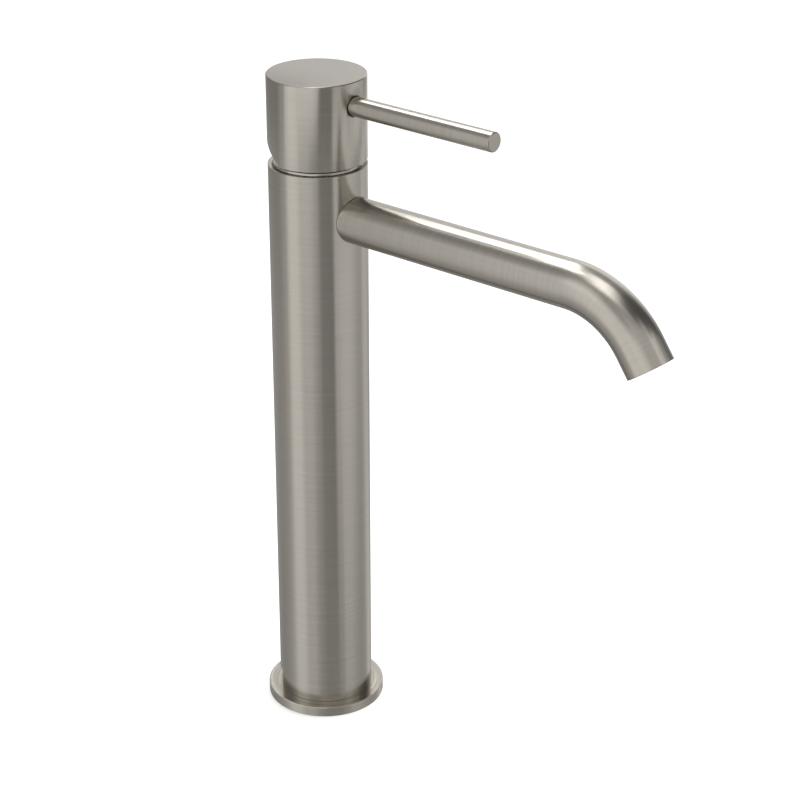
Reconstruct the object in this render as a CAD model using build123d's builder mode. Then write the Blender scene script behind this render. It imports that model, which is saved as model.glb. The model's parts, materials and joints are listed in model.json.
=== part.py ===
"""Tall single-lever basin mixer: a round column on a flange, a fixed tube spout and a
pin lever on a cap that lifts to open and turns to mix.

Millimetres. Z runs up the column, X runs forwards along the spout and the lever, and the
origin is the centre of the flange's underside, where the mixer stands on its deck.
"""

from build123d import *

import os
from math import cos, radians, sin, sqrt, tan

os.makedirs("parts", exist_ok=True)

# ------------------------------------------------------------------ driving sizes

# Flange and column
base_diameter = 56.4
base_thickness = 5.0
base_edge_break = 0.3
column_diameter = 45.0
column_wall = 1.9
column_length = 270.1
rim_edge_break = 0.2
rim_dish = 0.3  # how far the rim falls from its edge to the bore

# Foot plug, which closes the column's lower end and takes hoses and stud
spigot_diameter = 34.0
hose_thread_bore = 9.0
hose_thread_depth = 8.0
pipe_stop = 1.0
stud_bore = 6.8
stud_depth = 12.0
stud_offset = 9.5
deck_seal_margin = 1.8
deck_seal_width = 1.8
deck_seal_height = 1.4

# Supply pipes inside the column
pipe_diameter = 10.0
pipe_wall = 1.0
pipe_spacing = 16.4
foot_socket_depth = 8.0
valve_socket_depth = 10.0

# Valve body in the top of the column
valve_body_set_down = 3.1
valve_waist_width = 4.0
valve_waist_depth = 2.0
riser_diameter = 6.4
riser_length = 9.5
pocket_depth = 2.0
outlet_passage_diameter = 5.0
outlet_passage_roof = 0.4
nut_wall = 1.4
nut_thread_length = 6.5

# Spout
spout_drop = 22.5
spout_diameter = 21.3
spout_wall = 1.5
spout_straight = 140.4
spout_bend_radius = 43.6
spout_bend_angle = 55.0
spout_tip_length = 10.2
tip_edge_break = 0.2
nipple_wall = 2.55
nipple_length = 21.0
nipple_engagement = 6.0
spout_seal_section = 1.4
spout_seal_groove_width = 1.8

# Aerator, set back in the mouth of the spout
aerator_set_back = 1.6
aerator_wall = 1.0
aerator_lip = 0.6
aerator_key_width = 2.0
aerator_key_depth = 0.3
aerator_key_count = 4
aerator_seal_thickness = 0.8
aerator_seal_width = 1.4
tip_ring_wall = 0.85
tip_ring_lip = 0.8
tip_ring_margin = 0.2
hexagon = 6  # sides of the key socket, and holes in the first ring of a sieve
grid_thickness = 1.4
grid_hole_diameter = 1.4
grid_pitch = 1.9
screen_thickness = 0.4
screen_hole_diameter = 0.8
screen_pitch = 1.45
jet_plate_thickness = 2.0
jet_diameter = 1.0
jet_inset = 2.65
jet_count = 12

# Ceramic cartridge
cartridge_wall = 1.1
port_plate_thickness = 3.5
port_plate_flange = 1.2
locating_pin_diameter = 2.4
locating_pin_length = 2.0
locating_pin_circle = 17.0
locating_pin_angle = 148.0
disc_thickness = 3.0
inlet_port_diameter = 3.2
inlet_port_circle = 9.8
inlet_port_angle = 45.0
outlet_port_diameter = 4.0
outlet_port_set_back = 1.6
port_seal_inset = 0.4
port_seal_width = 0.9
port_seal_height = 0.8
chamber_width = 6.0
chamber_depth = 1.2
disc_land = 0.27
carrier_height = 7.0
carrier_base_height = 2.0
carrier_width = 13.0
lid_thickness = 1.6
neck_diameter = 18.0
neck_wall = 1.4
neck_above_pivot = 2.0
guide_above_pivot = 3.5
guide_flange_thickness = 1.8
guide_rail_thickness = 2.9
guide_rail_length = 8.0
stop_thickness = 1.2
stop_tab_angle = 40.0
stop_spare_angle = 1.0
nut_lip = 2.0
nut_notch_width = 4.0
nut_notch_depth = 1.5
nut_notch_count = 4

# Cover ring that hides the nut
cover_wall = 0.9
cover_groove_below_rim = 0.65
cover_groove_above_rim = 0.15
cover_groove_depth = 0.8
cover_above_rim = 1.15
cover_flat_width = 3.0

# Stem
lever_lift = 25.0
mix_turn = 50.0
pivot_arm = 10.0
pivot_pin_diameter = 3.0
stem_depth = 7.0
stem_width = 5.8
stem_above_screw = 3.5
arm_diameter = 3.2
ball_diameter = 4.0
ball_inset = 0.5

# Lever cap
cap_gap = 2.2
cap_height = 39.0
cap_wall = 3.5
cap_roof = 4.3
cap_top_break = 0.35
cap_foot_break = 0.25
cap_relief_spare_angle = 8.0
cap_relief_start = 2.4
cap_boss_diameter = 15.0
cap_boss_above_pivot = 10.0
pin_boss_diameter = 14.0

# Lever pin and the screw behind it
lever_drop = 11.0
lever_diameter = 8.9
lever_reach = 99.5
lever_end_break = 0.4
lever_seat_depth = 4.0
lever_seat_gap = 0.4
lever_shoulder = 0.45
screw_length = 6.0
screw_room = 0.9
screw_key_width = 4.0
screw_key_depth = 3.0

# Clearances
seat_gap = 0.05  # between pieces that are joined
running_gap = 0.05  # between pieces that turn or slide on each other
travel_gap = 0.4  # between pieces that pass each other
film_gap = 0.02  # between polished or ground faces
side_gap = 0.1  # each side of a flat guide
slip_gap = 0.1  # round a piece that is slid down the column or into the spout
pin_end_gap = 0.3  # at each end of the pivot pin

# ------------------------------------------------------------------ derived places

column_radius = column_diameter / 2
column_bore = column_radius - column_wall
core_radius = column_bore - slip_gap
rim_height = base_thickness + column_length
spigot_radius = spigot_diameter / 2
foot_top = hose_thread_depth + pipe_stop + foot_socket_depth

spout_height = rim_height - spout_drop
spout_radius = spout_diameter / 2
spout_bore = spout_radius - spout_wall
nipple_radius = spout_bore - slip_gap
nipple_bore = nipple_radius - nipple_wall
nipple_start = core_radius - nipple_engagement
spout_axis = Axis((0, 0, spout_height), (1, 0, 0))

# The cartridge stands just above the passage that feeds the bottom of the nipple's bore.
passage_radius = outlet_passage_diameter / 2
passage_height = spout_height - nipple_bore + passage_radius
cup_floor = passage_height + passage_radius + outlet_passage_roof + pocket_depth
riser_top = cup_floor - pocket_depth
valve_top = rim_height - valve_body_set_down
valve_bottom = riser_top - riser_length - valve_socket_depth

inlet_x = inlet_port_circle / 2 * cos(radians(inlet_port_angle))
inlet_y = inlet_port_circle / 2 * sin(radians(inlet_port_angle))
pipe_y = pipe_spacing / 2
pipe_places = [(inlet_x, pipe_y), (inlet_x, -pipe_y)]
inlet_places = [(inlet_x, inlet_y), (inlet_x, -inlet_y)]
pocket_run = pipe_y - riser_diameter / 4 - inlet_y
pocket_y = inlet_y + pocket_run / 2
pocket_places = [(inlet_x, pocket_y), (inlet_x, -pocket_y)]

plate_top = cup_floor + port_plate_thickness
fixed_disc_top = plate_top + disc_thickness
moving_disc_bottom = fixed_disc_top + film_gap
moving_disc_top = moving_disc_bottom + disc_thickness
carrier_top = moving_disc_top + carrier_height
ball_height = carrier_top - ball_inset
pivot_height = ball_height + pivot_arm
disc_stroke = pivot_arm * sin(radians(lever_lift))
disc_centre = -disc_stroke / 2
moving_disc_radius = (inlet_port_circle + inlet_port_diameter + disc_stroke) / 2 + disc_land
case_bore = moving_disc_radius + disc_stroke / 2 + travel_gap
case_radius = case_bore + cartridge_wall
cup_radius = case_radius + side_gap
nut_radius = cup_radius + nut_wall
flange_bottom = carrier_top + travel_gap
flange_top = flange_bottom + guide_flange_thickness
lid_bottom = flange_top + 2 * side_gap
shoulder = lid_bottom + lid_thickness
neck_top = pivot_height + neck_above_pivot
guide_top = pivot_height + guide_above_pivot
neck_bore = neck_diameter / 2 - neck_wall
guide_radius = neck_bore - running_gap
stop_bore = case_bore - stop_thickness
guide_flange_radius = stop_bore - travel_gap
nut_bottom = shoulder - nut_thread_length
nut_top = shoulder + nut_lip

cap_bottom = rim_height + cap_gap
cap_top = cap_bottom + cap_height
cavity_radius = column_radius - cap_wall
cavity_roof = cap_top - cap_roof
boss_bottom = pivot_height + cap_boss_above_pivot
lever_height = cap_top - lever_drop
lever_radius = lever_diameter / 2
lever_seat = column_radius - lever_seat_depth
lever_thread_radius = lever_radius - lever_shoulder
stem_top = lever_height + stem_above_screw

print("rim", rim_height, "spout axis", spout_height, "cup floor", cup_floor)
print("pivot", pivot_height, "disc stroke", disc_stroke, "top", cap_top)
print("cartridge radius", case_radius, "nut radius", nut_radius)
print("hose holes", inlet_x, pipe_y, "threads", hose_thread_depth, stud_depth)


# ------------------------------------------------------------------ shared outlines


def turned(*points):
    """Half-section of a turned piece, as (radius, height) points about the column."""
    with BuildSketch(Plane.XZ) as section:
        with BuildLine():
            Polyline(*points, close=True)
        make_face()
    return section.sketch


def ring(inner, outer, bottom, top):
    """Half-section of a plain ring or tube that stands on the column's axis."""
    return turned((inner, bottom), (outer, bottom), (outer, top), (inner, top))


def spout_ring(inner, outer, back, front):
    """Half-section of a plain ring on the spout's level axis, from back to front."""
    return ring_points(
        (back, inner), (front, inner), (front, outer), (back, outer), height=spout_height
    )


def ring_points(*points, height):
    """Half-section about a level axis at the height, as (distance, radius) points."""
    return turned(*[(distance, height + radius) for distance, radius in points])


def sector(radius, half_angle, height):
    """Pie slice about the column's axis that faces the back of the mixer."""
    with BuildSketch(Plane.XY.offset(height)) as slice_face:
        with BuildLine():
            arc = CenterArc((0, 0), radius, 180 - half_angle, 2 * half_angle)
            Line(arc @ 1, (0, 0))
            Line((0, 0), arc @ 0)
        make_face()
    return slice_face.sketch


def discs(places, diameter, height):
    """Equal circles at one height."""
    with BuildSketch(Plane.XY.offset(height)) as circles:
        with Locations(*places):
            Circle(diameter / 2)
    return circles.sketch


def pockets(width, height):
    """Slots that lead each inlet port out to its supply pipe."""
    with BuildSketch(Plane.XY.offset(height)) as slots:
        with Locations(*pocket_places):
            SlotCenterToCenter(pocket_run, width, rotation=90)
    return slots.sketch


def save(piece, name):
    """Name a finished piece and write it to its own file."""
    piece.part.label = name
    export_step(piece.part, f"parts/{name}.step")


# ------------------------------------------------------------------ flange and foot

seal_outer = base_diameter / 2 - deck_seal_margin
seal_inner = seal_outer - deck_seal_width

with BuildPart() as base_flange:
    revolve(
        ring(spigot_radius + side_gap, base_diameter / 2, 0, base_thickness),
        axis=Axis.Z,
    )
    rims = base_flange.edges().filter_by(GeomType.CIRCLE).group_by(SortBy.RADIUS)[-1]
    chamfer(rims, base_edge_break)
    # groove for the seal that beds on the deck
    revolve(
        ring(seal_inner - side_gap, seal_outer + side_gap, 0, deck_seal_height + side_gap),
        axis=Axis.Z,
        mode=Mode.SUBTRACT,
    )
save(base_flange, "base_flange")

with BuildPart() as deck_seal:
    revolve(ring(seal_inner, seal_outer, 0, deck_seal_height), axis=Axis.Z)
save(deck_seal, "deck_seal")

with BuildPart() as foot_plug:
    revolve(
        turned(
            (0, 0),
            (spigot_radius, 0),
            (spigot_radius, base_thickness),
            (core_radius, base_thickness),
            (core_radius, foot_top),
            (0, foot_top),
        ),
        axis=Axis.Z,
    )
    # supply pipes plug in from above, hoses screw in from below
    pipe_socket = discs(pipe_places, pipe_diameter + 2 * seat_gap, foot_top)
    extrude(pipe_socket, amount=-foot_socket_depth, mode=Mode.SUBTRACT)
    hose_hole = discs(pipe_places, hose_thread_bore, 0)
    extrude(hose_hole, amount=hose_thread_depth, mode=Mode.SUBTRACT)
    throat = discs(pipe_places, pipe_diameter - 2 * pipe_wall, 0)
    extrude(throat, amount=hose_thread_depth + pipe_stop, mode=Mode.SUBTRACT)
    # fixing stud
    stud_hole = discs([(-stud_offset, 0)], stud_bore, 0)
    extrude(stud_hole, amount=stud_depth, mode=Mode.SUBTRACT)
save(foot_plug, "foot_plug")

# ------------------------------------------------------------------ column

nipple_hole_radius = nipple_radius + side_gap

with BuildPart() as column_tube:
    # the rim is dished, so that water runs back under the cover ring
    revolve(
        turned(
            (column_bore, base_thickness),
            (column_radius, base_thickness),
            (column_radius, rim_height - rim_edge_break),
            (column_radius - rim_edge_break, rim_height),
            (column_bore, rim_height - rim_dish),
        ),
        axis=Axis.Z,
    )
    # hole for the spout's nipple
    with BuildSketch(Plane.YZ):
        with Locations((0, spout_height)):
            Circle(nipple_hole_radius)
    extrude(amount=column_diameter, mode=Mode.SUBTRACT)
save(column_tube, "column_tube")

pipe_bottom = foot_top - foot_socket_depth + seat_gap
pipe_top = valve_bottom + valve_socket_depth - seat_gap

for pipe_name, pipe_place in zip(("cold_pipe", "hot_pipe"), pipe_places):
    with BuildPart() as supply_pipe:
        with BuildSketch(Plane.XY.offset(pipe_bottom)):
            with Locations(pipe_place):
                Circle(pipe_diameter / 2)
                Circle(pipe_diameter / 2 - pipe_wall, mode=Mode.SUBTRACT)
        extrude(amount=pipe_top - pipe_bottom)
    save(supply_pipe, pipe_name)

# ------------------------------------------------------------------ valve body

waist_radius = core_radius - valve_waist_depth
waist_bottom = valve_bottom + valve_waist_width
waist_top = waist_bottom + valve_waist_width
nut_bore = nut_radius + seat_gap
nut_seat = nut_bottom - travel_gap
pin_places = [
    (
        locating_pin_circle / 2 * cos(radians(side * locating_pin_angle)),
        locating_pin_circle / 2 * sin(radians(side * locating_pin_angle)),
    )
    for side in (1, -1)
]

with BuildPart() as valve_body:
    revolve(
        turned(
            (0, valve_bottom),
            (core_radius, valve_bottom),
            (core_radius, waist_bottom),
            (waist_radius, waist_bottom),
            (waist_radius, waist_top),
            (core_radius, waist_top),
            (core_radius, valve_top),
            (nut_bore, valve_top),
            (nut_bore, nut_seat),
            (cup_radius, nut_seat),
            (cup_radius, cup_floor),
            (0, cup_floor),
        ),
        axis=Axis.Z,
    )
    # hot and cold: pipe socket, riser, and the pocket under the port plate
    pipe_socket = discs(pipe_places, pipe_diameter + 2 * seat_gap, valve_bottom)
    extrude(pipe_socket, amount=valve_socket_depth, mode=Mode.SUBTRACT)
    riser = discs(pipe_places, riser_diameter, riser_top)
    extrude(riser, amount=-riser_length, mode=Mode.SUBTRACT)
    pocket = pockets(inlet_port_diameter, cup_floor)
    extrude(pocket, amount=-pocket_depth, mode=Mode.SUBTRACT)
    # mixed water: down the outlet port, then forwards to the spout
    outlet = discs([(-outlet_port_set_back, 0)], outlet_port_diameter, cup_floor)
    extrude(outlet, amount=passage_height - cup_floor, mode=Mode.SUBTRACT)
    revolve(
        ring_points(
            (-outlet_port_set_back, 0),
            (core_radius, 0),
            (core_radius, passage_radius),
            (-outlet_port_set_back, passage_radius),
            height=passage_height,
        ),
        axis=Axis((0, 0, passage_height), (1, 0, 0)),
        mode=Mode.SUBTRACT,
    )
    # threaded socket for the spout's nipple
    socket_radius = nipple_radius + seat_gap
    revolve(
        spout_ring(0, socket_radius, nipple_start, column_radius),
        axis=spout_axis,
        mode=Mode.SUBTRACT,
    )
    # holes for the cartridge's locating pins
    pin_hole = discs(pin_places, locating_pin_diameter + 2 * side_gap, cup_floor)
    extrude(pin_hole, amount=-locating_pin_length - travel_gap, mode=Mode.SUBTRACT)
save(valve_body, "valve_body")

# ------------------------------------------------------------------ spout

nipple_back = nipple_start + seat_gap
nipple_front = nipple_back + nipple_length
seal_centre = nipple_back + spout_seal_groove_width
groove_floor = socket_radius - spout_seal_section - film_gap

with BuildPart() as spout_nipple:
    revolve(
        spout_ring(nipple_bore, nipple_radius, nipple_back, nipple_front),
        axis=spout_axis,
    )
    revolve(
        spout_ring(
            groove_floor,
            column_radius,
            seal_centre - spout_seal_groove_width / 2,
            seal_centre + spout_seal_groove_width / 2,
        ),
        axis=spout_axis,
        mode=Mode.SUBTRACT,
    )
save(spout_nipple, "spout_nipple")

with BuildPart() as spout_seal:
    with Locations(Plane((seal_centre, 0, spout_height), z_dir=(1, 0, 0))):
        Torus(socket_radius - film_gap / 2 - spout_seal_section / 2, spout_seal_section / 2)
save(spout_seal, "spout_seal")

# The tube starts inside the column and is then coped to the column's outside.
cope_depth = column_radius - sqrt(column_radius**2 - spout_radius**2)
tube_start = column_radius - cope_depth - spout_wall

with BuildPart() as spout_tube:
    with BuildLine(Plane.XZ) as spout_route:
        level_run = Line((tube_start, spout_height), (spout_straight, spout_height))
        bend = JernArc(
            start=level_run @ 1,
            tangent=level_run % 1,
            radius=spout_bend_radius,
            arc_size=-spout_bend_angle,
        )
        PolarLine(bend @ 1, spout_tip_length, direction=bend % 1)
    with BuildSketch(Plane(level_run @ 0, z_dir=(1, 0, 0))):
        Circle(spout_radius)
        Circle(spout_bore, mode=Mode.SUBTRACT)
    sweep()
    revolve(
        ring(0, column_radius + seat_gap, valve_bottom, rim_height),
        axis=Axis.Z,
        mode=Mode.SUBTRACT,
    )
    mouth = spout_tube.faces().filter_by(GeomType.PLANE).sort_by(Axis.X)[-1]
    chamfer(mouth.edges().sort_by(SortBy.LENGTH)[-1], tip_edge_break)
save(spout_tube, "spout_tube")

# ------------------------------------------------------------------ aerator

tip_centre = spout_route.line @ 1
outflow = spout_route.line % 1
mouth_plane = Plane(tip_centre, x_dir=(0, 1, 0), z_dir=outflow)
print("mouth of the spout", tip_centre)


def mouth_rings(depth, *radii):
    """Circles set back from the mouth of the spout, each later one cut from the first."""
    with BuildSketch(mouth_plane.offset(-depth)) as face:
        Circle(radii[0])
        for radius in radii[1:]:
            Circle(radius, mode=Mode.SUBTRACT)
    return face.sketch


def mouth_holes(depth, diameter, pitch):
    """Rings of round holes round a central one, as many as the lip leaves clear."""
    rings = int((lip_radius - diameter / 2) / pitch)
    with BuildSketch(mouth_plane.offset(-depth)) as holes:
        Circle(diameter / 2)
        for number in range(1, rings + 1):
            with PolarLocations(number * pitch, hexagon * number):
                Circle(diameter / 2)
    return holes.sketch


tip_ring_radius = spout_bore - seat_gap
thread_radius = tip_ring_radius - tip_ring_wall
housing_radius = thread_radius - seat_gap
housing_bore = housing_radius - aerator_wall
insert_radius = housing_bore - seat_gap
lip_radius = housing_bore - aerator_lip
washer_radius = housing_radius - aerator_seal_width
ring_end = spout_tip_length - tip_ring_margin
seal_end = ring_end - tip_ring_lip
housing_end = seal_end - aerator_seal_thickness
aerator_length = housing_end - aerator_set_back
grid_start = aerator_set_back + aerator_lip
screen_start = grid_start + grid_thickness
jet_start = housing_end - jet_plate_thickness

with BuildPart() as tip_ring:
    outer = mouth_rings(aerator_set_back, tip_ring_radius, thread_radius)
    extrude(outer, amount=aerator_set_back - ring_end)
    extrude(mouth_rings(seal_end, tip_ring_radius, washer_radius), amount=-tip_ring_lip)
save(tip_ring, "tip_ring")

with BuildPart() as aerator_housing:
    extrude(mouth_rings(aerator_set_back, housing_radius, housing_bore), amount=-aerator_length)
    extrude(mouth_rings(aerator_set_back, housing_radius, lip_radius), amount=-aerator_lip)
    # key notches in the outer edge
    with BuildSketch(mouth_plane.offset(-aerator_set_back)):
        with PolarLocations(housing_radius, aerator_key_count):
            Rectangle(aerator_wall, aerator_key_width)
    extrude(amount=-aerator_key_depth, mode=Mode.SUBTRACT)
save(aerator_housing, "aerator_housing")

with BuildPart() as aerator_seal:
    washer = mouth_rings(housing_end, housing_radius, washer_radius)
    extrude(washer, amount=-aerator_seal_thickness)
save(aerator_seal, "aerator_seal")

with BuildPart() as aerator_grid:
    extrude(mouth_rings(grid_start, insert_radius), amount=-grid_thickness)
    holes = mouth_holes(grid_start, grid_hole_diameter, grid_pitch)
    extrude(holes, amount=-grid_thickness, mode=Mode.SUBTRACT)
save(aerator_grid, "aerator_grid")

with BuildPart() as aerator_screen:
    extrude(mouth_rings(screen_start, insert_radius), amount=-screen_thickness)
    holes = mouth_holes(screen_start, screen_hole_diameter, screen_pitch)
    extrude(holes, amount=-screen_thickness, mode=Mode.SUBTRACT)
save(aerator_screen, "aerator_screen")

with BuildPart() as flow_regulator:
    extrude(mouth_rings(jet_start, insert_radius), amount=-jet_plate_thickness)
    with BuildSketch(mouth_plane.offset(-jet_start)):
        with PolarLocations(insert_radius - jet_inset, jet_count):
            Circle(jet_diameter / 2)
    extrude(amount=-jet_plate_thickness, mode=Mode.SUBTRACT)
save(flow_regulator, "flow_regulator")

# ------------------------------------------------------------------ cartridge

plate_radius = case_bore - side_gap
plate_flange_top = cup_floor + port_plate_flange
case_bottom = plate_flange_top + seat_gap
stop_bottom = flange_bottom - side_gap
outlet_place = [(-outlet_port_set_back, 0)]


def port_holes(height):
    """The two inlet ports and the outlet port, at one height."""
    inlets = discs(inlet_places, inlet_port_diameter, height)
    return inlets, discs(outlet_place, outlet_port_diameter, height)


def seal_rings(inner, outer):
    """Loops round the two pockets and the outlet, between two distances from each."""
    with BuildSketch(Plane.XY.offset(cup_floor)) as loops:
        with Locations(*pocket_places):
            SlotCenterToCenter(pocket_run, inlet_port_diameter + 2 * outer, rotation=90)
        with Locations(*outlet_place):
            Circle(outlet_port_diameter / 2 + outer)
        with Locations(*pocket_places):
            SlotCenterToCenter(
                pocket_run, inlet_port_diameter + 2 * inner, rotation=90, mode=Mode.SUBTRACT
            )
        with Locations(*outlet_place):
            Circle(outlet_port_diameter / 2 + inner, mode=Mode.SUBTRACT)
    return loops.sketch


with BuildPart() as port_plate:
    revolve(
        turned(
            (0, cup_floor),
            (case_radius, cup_floor),
            (case_radius, plate_flange_top),
            (plate_radius, plate_flange_top),
            (plate_radius, plate_top),
            (0, plate_top),
        ),
        axis=Axis.Z,
    )
    for ports in port_holes(cup_floor):
        extrude(ports, amount=port_plate_thickness, mode=Mode.SUBTRACT)
    # grooves for the port seals
    grooves = seal_rings(port_seal_inset, port_seal_inset + port_seal_width)
    extrude(grooves, amount=port_seal_height + seat_gap, mode=Mode.SUBTRACT)
    extrude(discs(pin_places, locating_pin_diameter, cup_floor), amount=-locating_pin_length)
save(port_plate, "port_plate")

with BuildPart() as port_seals:
    loops = seal_rings(port_seal_inset + seat_gap, port_seal_inset + port_seal_width - seat_gap)
    extrude(loops, amount=port_seal_height)
save(port_seals, "port_seals")

with BuildPart() as fixed_disc:
    revolve(ring(0, plate_radius, plate_top, fixed_disc_top), axis=Axis.Z)
    for ports in port_holes(plate_top):
        extrude(ports, amount=disc_thickness, mode=Mode.SUBTRACT)
save(fixed_disc, "fixed_disc")

with BuildPart() as moving_disc:
    with BuildSketch(Plane.XY.offset(moving_disc_bottom)):
        with Locations((disc_centre, 0)):
            Circle(moving_disc_radius)
    extrude(amount=disc_thickness)
    # mixing chamber in the underside
    with BuildSketch(Plane.XY.offset(moving_disc_bottom)):
        with Locations((disc_centre, 0)):
            SlotCenterToCenter(disc_stroke, chamber_width)
    extrude(amount=chamber_depth, mode=Mode.SUBTRACT)
save(moving_disc, "moving_disc")

with BuildPart() as disc_carrier:
    with BuildSketch(Plane.XY.offset(moving_disc_top)):
        with Locations((disc_centre, 0)):
            Circle(moving_disc_radius)
    extrude(amount=carrier_base_height)
    with BuildSketch(Plane.XY.offset(moving_disc_top)):
        with Locations((disc_centre, 0)):
            Circle(moving_disc_radius)
            Rectangle(column_diameter, carrier_width, mode=Mode.INTERSECT)
    extrude(amount=carrier_height)
    # pocket that the stem's ball works in
    with BuildSketch(Plane.XY.offset(carrier_top)):
        Rectangle(ball_diameter + 2 * travel_gap, ball_diameter + 2 * travel_gap)
    extrude(amount=-(ball_inset + ball_diameter / 2 + 2 * travel_gap), mode=Mode.SUBTRACT)
save(disc_carrier, "disc_carrier")

with BuildPart() as cartridge_case:
    revolve(
        turned(
            (case_bore, case_bottom),
            (case_radius, case_bottom),
            (case_radius, shoulder),
            (neck_diameter / 2, shoulder),
            (neck_diameter / 2, neck_top),
            (neck_bore, neck_top),
            (neck_bore, lid_bottom),
            (stop_bore, lid_bottom),
            (stop_bore, stop_bottom),
            (case_bore, stop_bottom),
        ),
        axis=Axis.Z,
    )
    # window that the guide's tab turns in, between its two stops
    window = sector(case_bore, mix_turn + stop_tab_angle / 2 + stop_spare_angle, stop_bottom)
    extrude(window, amount=lid_bottom - stop_bottom, mode=Mode.SUBTRACT)
save(cartridge_case, "cartridge_case")

with BuildPart() as cartridge_nut:
    revolve(
        turned(
            (cup_radius, nut_bottom),
            (nut_radius, nut_bottom),
            (nut_radius, nut_top),
            (neck_diameter / 2 + travel_gap, nut_top),
            (neck_diameter / 2 + travel_gap, shoulder),
            (cup_radius, shoulder),
        ),
        axis=Axis.Z,
    )
    # notches for a ring spanner
    with BuildSketch(Plane.XY.offset(nut_top)):
        with PolarLocations(nut_radius, nut_notch_count):
            Rectangle(nut_notch_width, nut_notch_width)
    extrude(amount=-nut_notch_depth, mode=Mode.SUBTRACT)
save(cartridge_nut, "cartridge_nut")

# ------------------------------------------------------------------ cover ring

cover_outer = core_radius - seat_gap
cover_groove_bottom = rim_height - cover_groove_below_rim
cover_groove_top = rim_height + cover_groove_above_rim
cover_groove_radius = cover_outer - cover_groove_depth
cover_top = rim_height + cover_above_rim
cover_roof = nut_top + travel_gap
cover_corner = nut_radius + travel_gap
cover_step = column_bore - cover_flat_width
cover_hole = neck_diameter / 2 + travel_gap

with BuildPart() as cover_ring:
    revolve(
        turned(
            (cover_outer - cover_wall, valve_top),
            (cover_outer, valve_top),
            (cover_outer, cover_groove_bottom),
            (cover_groove_radius, cover_groove_bottom),
            (cover_groove_radius, cover_groove_top),
            (cover_outer, cover_groove_top),
            (cover_outer, cover_top),
            (cover_step, cover_top),
            (cover_corner + cover_wall / 2, cover_roof + cover_wall),
            (cover_hole, cover_roof + cover_wall),
            (cover_hole, cover_roof),
            (cover_corner, cover_roof),
            (cover_step - cover_wall / 2, cover_top - cover_wall),
            (cover_groove_radius - cover_wall, cover_top - cover_wall),
            (cover_groove_radius - cover_wall, cover_groove_bottom - cover_wall),
            (cover_outer - cover_wall, cover_groove_bottom - cover_wall),
        ),
        axis=Axis.Z,
    )
save(cover_ring, "cover_ring")

# ------------------------------------------------------------------ guide and stem

rail_bottom = moving_disc_top + carrier_base_height + travel_gap
rail_centre = carrier_width / 2 + side_gap + guide_rail_thickness / 2
lean = radians(lever_lift)
slot_back = stem_depth / 2 / cos(lean) + guide_above_pivot * tan(lean) + travel_gap
slot_front = disc_stroke + ball_diameter / 2 + travel_gap
slot_heel = stem_depth / 2 / cos(lean) + side_gap
slot_stop = stem_depth / 2 + side_gap
slot_width = stem_width + 2 * side_gap
pin_radius = pivot_pin_diameter / 2
pin_half = neck_bore - pin_end_gap

with BuildPart() as stem_guide:
    revolve(
        turned(
            (0, flange_bottom),
            (guide_flange_radius, flange_bottom),
            (guide_flange_radius, flange_top),
            (guide_radius, flange_top),
            (guide_radius, guide_top),
            (0, guide_top),
        ),
        axis=Axis.Z,
    )
    tab = sector(case_bore - travel_gap, stop_tab_angle / 2, flange_bottom)
    extrude(tab, amount=guide_flange_thickness)
    # rails that the disc carrier slides between
    with BuildSketch(Plane.XY.offset(flange_bottom)):
        with Locations((0, rail_centre), (0, -rail_centre)):
            Rectangle(guide_rail_length, guide_rail_thickness)
        Circle(guide_flange_radius, mode=Mode.INTERSECT)
    extrude(amount=rail_bottom - flange_bottom)
    # slot that the arm swings forwards in, and above the pivot the stem backwards
    with BuildSketch(Plane.XY.offset(flange_bottom)):
        with Locations(((slot_front - slot_heel) / 2, 0)):
            Rectangle(slot_front + slot_heel, slot_width)
    extrude(amount=pivot_height - flange_bottom, mode=Mode.SUBTRACT)
    with BuildSketch(Plane.XY.offset(pivot_height)):
        with Locations(((slot_stop - slot_back) / 2, 0)):
            Rectangle(slot_stop + slot_back, slot_width)
    extrude(amount=guide_above_pivot, mode=Mode.SUBTRACT)
    with BuildSketch(Plane.XZ):
        with Locations((0, pivot_height)):
            Circle(pin_radius + film_gap)
    extrude(amount=column_radius, both=True, mode=Mode.SUBTRACT)
save(stem_guide, "stem_guide")

with BuildPart() as stem_pin:
    with BuildSketch(Plane.XZ):
        with Locations((0, pivot_height)):
            Circle(pin_radius)
    extrude(amount=pin_half, both=True)
save(stem_pin, "stem_pin")

with BuildPart() as stem:
    with BuildSketch(Plane.XZ):
        with Locations((0, (pivot_height + stem_top) / 2)):
            Rectangle(stem_depth, stem_top - pivot_height)
        with Locations((0, pivot_height)):
            Circle(stem_depth / 2)
    extrude(amount=stem_width / 2, both=True)
    revolve(ring(0, arm_diameter / 2, ball_height, pivot_height), axis=Axis.Z)
    with Locations((0, 0, ball_height)):
        Sphere(ball_diameter / 2)
    with BuildSketch(Plane.XZ):
        with Locations((0, pivot_height)):
            Circle(pin_radius + running_gap)
    extrude(amount=column_radius, both=True, mode=Mode.SUBTRACT)
save(stem, "stem")

# ------------------------------------------------------------------ lever cap

socket_top = stem_top + travel_gap
screw_bore = lever_thread_radius + seat_gap
relief_angle = lever_lift + cap_relief_spare_angle
relief_reach = column_diameter
relief_rise = (relief_reach - cap_relief_start) * tan(radians(relief_angle))

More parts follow.
